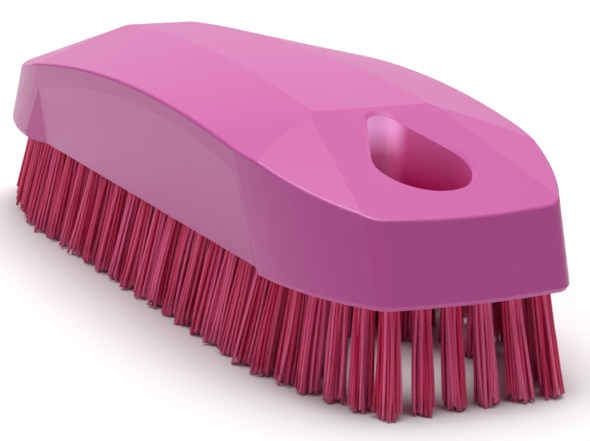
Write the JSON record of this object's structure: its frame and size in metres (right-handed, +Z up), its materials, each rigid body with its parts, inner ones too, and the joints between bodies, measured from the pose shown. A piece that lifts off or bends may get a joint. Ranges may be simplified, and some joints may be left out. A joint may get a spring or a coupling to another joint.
{
  "type": "nail brush",
  "caption": "Hand-sized nail brush: faceted moulded block with grip recesses, a drop-shaped hanging hole and splayed bristle tufts held by wire anchors.",
  "frame": {"origin": "middle of the footprint, on the plane of the bristle tips", "axes": "+X along the brush towards the hanging hole, +Z up through the crown, +Y to the left side"},
  "size_m": [0.133, 0.049, 0.037],
  "materials": {
    "block_moulding": "moulded pink polypropylene with a soft gloss",
    "bristle_filament": "extruded polyester filament, satin, dark rose",
    "anchor_wire": "drawn flat stainless wire"
  },
  "bodies": {
    "root": {"anchors_heel_end": "anchor_wire", "anchors_heel_left_cheek": "anchor_wire", "anchors_heel_right_cheek": "anchor_wire", "anchors_left_inner_row": "anchor_wire", "anchors_left_outer_row": "anchor_wire", "anchors_left_side": "anchor_wire", "anchors_middle_row": "anchor_wire", "anchors_nose_end": "anchor_wire", "anchors_nose_left_cheek": "anchor_wire", "anchors_nose_right_cheek": "anchor_wire", "anchors_right_inner_row": "anchor_wire", "anchors_right_outer_row": "anchor_wire", "anchors_right_side": "anchor_wire", "block": "block_moulding", "tufts_heel_end": "bristle_filament", "tufts_heel_left_cheek": "bristle_filament", "tufts_heel_right_cheek": "bristle_filament", "tufts_left_inner_row": "bristle_filament", "tufts_left_outer_row": "bristle_filament", "tufts_left_side": "bristle_filament", "tufts_middle_row": "bristle_filament", "tufts_nose_end": "bristle_filament", "tufts_nose_left_cheek": "bristle_filament", "tufts_nose_right_cheek": "bristle_filament", "tufts_right_inner_row": "bristle_filament", "tufts_right_outer_row": "bristle_filament", "tufts_right_side": "bristle_filament"}
  },
  "joints": []
}
